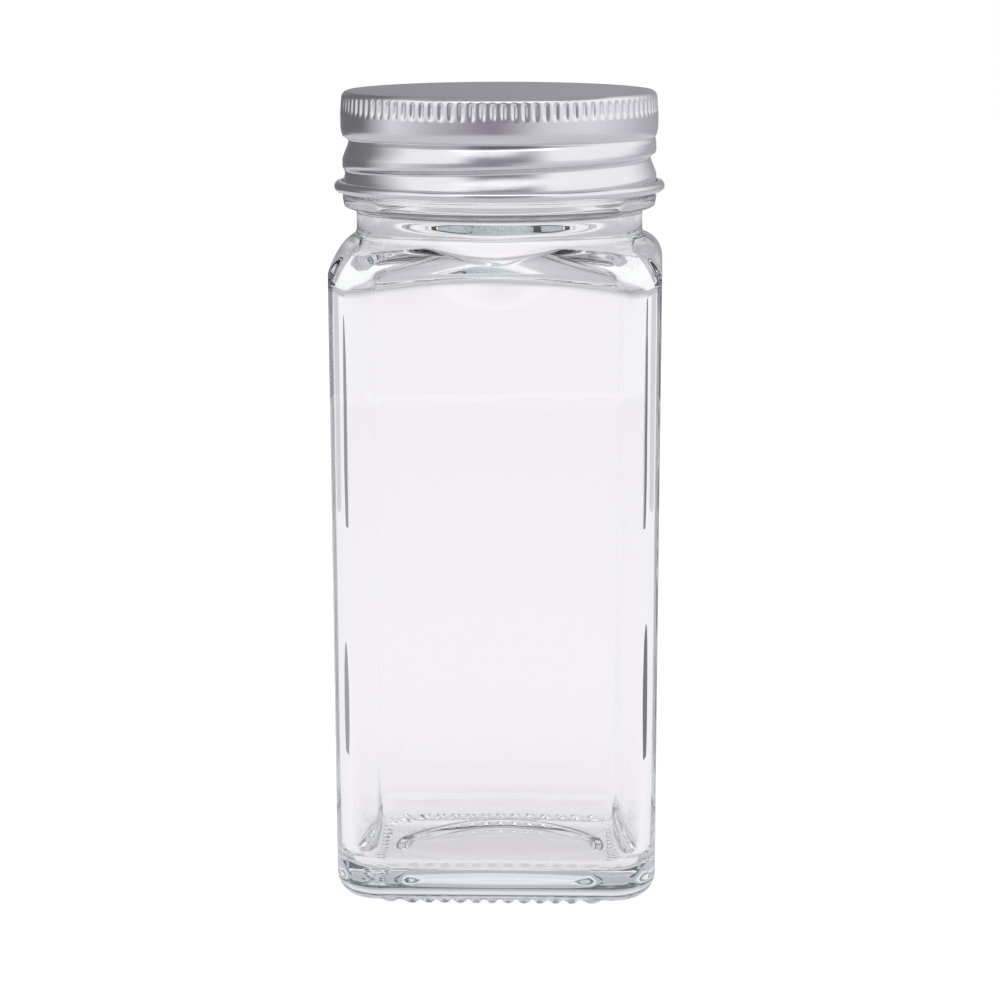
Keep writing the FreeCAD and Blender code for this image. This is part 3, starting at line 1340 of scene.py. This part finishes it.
@dataclass
class Studio:
    """A white sweep with soft light, greys for the metal and the glass to show, and the camera."""

    floor_size: float = 2400.0
    floor_gap: float = 0.02
    fill: float = 0.6
    paper: str = "#AEAEB0"
    paper_glow: str = "#FFFAFE"
    paper_lift: float = 0.62
    camera_lift: float = 0.25
    wall_radius: float = 510.0
    wall_sides: int = 96
    flag_sides: int = 64
    # A ray in a corner of the glass has crossed the surface at most twice.
    corner_limit: float = 2.5
    card_size: float = 960.0
    floor_card_lift: float = 0.2
    floor_card_grey: str = "#D2D0D5"
    ceiling_height: float = 630.0
    ceiling_grey: str = "#A3A1A6"
    lamp_place: Triple = (20.0, -370.0, 560.0)
    lamp_aim: Triple = (0.0, 0.0, 60.0)
    lamp_size: tuple[float, float] = (1100.0, 420.0)
    lamp_power: float = 1.5
    camera_distance: float = 543.96
    camera_height: float = 138.26
    camera_turn: float = 2.24
    camera_pitch: float = 8.92
    camera_roll: float = -0.10
    focal_pixels: float = 3948.0
    image_pixels: float = 1000.0
    sensor: float = 36.0
    glass_bounces: int = 32

    def backdrop_factor(self, tree: NodeTree) -> NodeSocket:
        """Picks the rays that show the background: seen, mirrored or through glass.

        Args:
            tree: Node tree that takes the nodes.

        Returns:
            A socket that is 1 for those rays and 0 for others.
        """
        path = add_node(tree, "LightPath").outputs
        seen = path["Is Camera Ray"]
        for ray in ("Is Glossy Ray", "Is Transmission Ray"):
            seen = add_node(tree, "Math", {0: seen, 1: path[ray]}, operation="MAXIMUM").outputs[0]
        return seen

    def light_world(self) -> None:
        """Makes the world white to look at and an even soft fill to light with."""
        world = bpy.data.worlds.new("studio")
        world.use_nodes = True
        tree = world.node_tree
        tree.nodes.clear()
        soft = add_node(tree, "Background", {"Color": linear(WHITE), "Strength": self.fill})
        white = add_node(tree, "Background", {"Color": linear(WHITE), "Strength": 1.0})
        mixed = add_node(tree, "MixShader", {0: self.backdrop_factor(tree), 1: soft, 2: white})
        add_node(tree, "OutputWorld", {"Surface": mixed})
        bpy.context.scene.world = world

    def sweep(self) -> Material:
        """Mixes the floor's paper, which looks white and takes the object's shadow.

        Returns:
            The material.
        """
        material, tree = new_tree("white_paper_sweep")
        paper = add_node(tree, "BsdfDiffuse", {"Color": linear(self.paper)})
        seen = add_node(tree, "LightPath").outputs["Is Camera Ray"]
        terms = {0: seen, 1: self.camera_lift, 2: self.paper_lift}
        lift = add_node(tree, "Math", terms, operation="MULTIPLY_ADD")
        strength = add_node(tree, "Math", {0: lift, 1: self.backdrop_factor(tree)}, operation="MULTIPLY")
        glow = add_node(tree, "Emission", {"Color": linear(self.paper_glow), "Strength": strength})
        add_node(tree, "OutputMaterial", {"Surface": add_node(tree, "AddShader", {0: paper, 1: glow})})
        return material

    def lit_grey(self, name: str, grey: str, corners_only: bool = False) -> Material:
        """Mixes one even glowing grey: lit paper for the cards and most flags, painted shadow for the near
        flags.

        Args:
            name: Name of the material.
            grey: Its colour.
            corners_only: Whether only the corners of the glass show it.

        Returns:
            The material.
        """
        material, tree = new_tree(name)
        shade = add_node(tree, "Emission", {"Color": linear(grey), "Strength": 1.0})
        if corners_only:
            crossings = add_node(tree, "LightPath").outputs["Transmission Depth"]
            corner = add_node(tree, "Math", {0: crossings, 1: self.corner_limit}, operation="LESS_THAN")
            clear = add_node(tree, "BsdfTransparent")
            shade = add_node(tree, "MixShader", {0: corner, 1: clear, 2: shade})
        add_node(tree, "OutputMaterial", {"Surface": shade})
        return material

    def stand(self, name: str, mesh: BMesh, material: Material, sight: Sight) -> None:
        """Puts a skin in metres into the studio.

        Args:
            name: Name of the studio piece.
            mesh: Its skin, which is used up.
            material: Its material.
            sight: Where it shows.
        """
        item = to_object(mesh, name, material)
        if sight is Sight.ALL:
            return
        for ray in ("camera", "diffuse", "shadow", "volume_scatter"):
            setattr(item, "visible_" + ray, False)
        item.visible_glossy = sight is Sight.METAL
        item.visible_transmission = sight is Sight.GLASS

    def sheet(self, name: str, size: float, height: float, material: Material, sight: Sight) -> None:
        """Lays a level square sheet.

        Args:
            name: Name of the sheet.
            size: Its width in millimetres.
            height: How high it lies, in millimetres.
            material: Its material.
            sight: Where it shows.
        """
        mesh = bmesh.new()
        place = Matrix.Translation((0.0, 0.0, height * MM))
        bmesh.ops.create_grid(mesh, x_segments=1, y_segments=1, size=size / 2 * MM, matrix=place)
        self.stand(name, mesh, material, sight)

    def wall(self, paper: WallPaper, sight: Sight) -> None:
        """Stands a round wall about the object.

        Args:
            paper: What covers the wall.
            sight: Where it shows.
        """
        mesh = bmesh.new()
        bmesh.ops.create_cone(
            mesh,
            segments=self.wall_sides,
            radius1=self.wall_radius * MM,
            radius2=self.wall_radius * MM,
            depth=paper.height * MM,
            matrix=Matrix.Translation((0.0, 0.0, paper.height / 2 * MM)),
        )
        self.stand(paper.name, mesh, paper.material(), sight)

    def hoist(self, flag: Flag) -> None:
        """Stands a flag upright, facing the object and seen only through the glass.

        Args:
            flag: The flag.
        """
        mesh = bmesh.new()
        bmesh.ops.create_circle(mesh, cap_ends=True, segments=self.flag_sides, radius=MM / 2)
        bmesh.ops.scale(mesh, vec=(flag.width, flag.high - flag.low, 1.0), verts=mesh.verts)
        height = (flag.low + flag.high) / 2
        stance = Matrix.Translation(at_angle(math.radians(flag.bearing + FRONT), flag.reach, height) * MM)
        stance @= Matrix.Rotation(math.radians(flag.bearing), 4, "Z")
        stance @= Matrix.Rotation(math.pi / 2, 4, "X")
        bmesh.ops.transform(mesh, matrix=stance, verts=mesh.verts)
        self.stand(flag.name, mesh, self.lit_grey(flag.name, flag.grey, corners_only=True), Sight.GLASS)

    def softbox(self) -> None:
        """Hangs the soft rectangular lamp above the front."""
        light = bpy.data.lights.new("front_softbox", "AREA")
        light.shape = "RECTANGLE"
        light.size, light.size_y = (length * MM for length in self.lamp_size)
        light.energy = self.lamp_power
        lamp = bpy.data.objects.new("front_softbox", light)
        place = Vector(self.lamp_place)
        lamp.location = place * MM
        lamp.rotation_euler = (Vector(self.lamp_aim) - place).to_track_quat("-Z", "Y").to_euler()
        bpy.context.scene.collection.objects.link(lamp)

    def camera(self) -> None:
        """Sets the camera where the photograph was taken from."""
        data = bpy.data.cameras.new("photo_camera")
        data.sensor_fit = "HORIZONTAL"
        data.sensor_width = self.sensor
        data.lens = self.focal_pixels / self.image_pixels * self.sensor
        turn, pitch = math.radians(self.camera_turn), math.radians(self.camera_pitch)
        level = math.cos(pitch)
        ahead = Vector((-math.sin(turn) * level, math.cos(turn) * level, -math.sin(pitch)))
        roll = Quaternion((0.0, 0.0, 1.0), math.radians(self.camera_roll))
        camera = bpy.data.objects.new("photo_camera", data)
        camera.location = at_angle(turn - math.pi / 2, self.camera_distance, self.camera_height) * MM
        camera.rotation_mode = "QUATERNION"
        camera.rotation_quaternion = ahead.to_track_quat("-Z", "Y") @ roll
        bpy.context.scene.collection.objects.link(camera)
        bpy.context.scene.camera = camera

    def build(self) -> None:
        """Sets up the floor, the walls, the flags, the cards, the light and the camera."""
        bpy.context.scene.view_settings.view_transform = "Standard"
        cycles = bpy.context.scene.cycles
        cycles.max_bounces = self.glass_bounces
        cycles.transmission_bounces = self.glass_bounces
        cycles.glossy_bounces = self.glass_bounces
        self.light_world()
        self.sheet("floor", self.floor_size, -self.floor_gap, self.sweep(), Sight.ALL)
        self.wall(METAL_WALL, Sight.METAL)
        self.wall(GLASS_WALL, Sight.GLASS)
        for flag in FLAGS:
            self.hoist(flag)
        for name, height, grey in (
            ("floor_card", self.floor_card_lift, self.floor_card_grey),
            ("ceiling_card", self.ceiling_height, self.ceiling_grey),
        ):
            self.sheet(name, self.card_size, height, self.lit_grey(name, grey), Sight.METAL)
        self.softbox()
        self.camera()


def main() -> None:
    """Builds the jar, its insert, its liner, its cap and the studio, sized from the frame nodes."""
    logging.basicConfig(level=logging.INFO, format="%(name)s %(message)s")
    _, jar_high = node_span("glass_jar")
    GlassJar(half=jar_high.x, rim=jar_high.z).build()
    insert_low, insert_high = node_span("shaker_insert")
    ShakerInsert(flange=insert_high.x, top=insert_high.z, bottom=insert_low.z).build()
    liner_low, liner_high = node_span("cap_liner")
    CapLiner(radius=liner_high.x, bottom=liner_low.z, top=liner_high.z).build()
    cap_low, cap_high = node_span("screw_cap")
    ScrewCap(reach=cap_high.x, top=cap_high.z, bottom=cap_low.z).build()
    Studio().build()


if __name__ == "__main__":
    main()
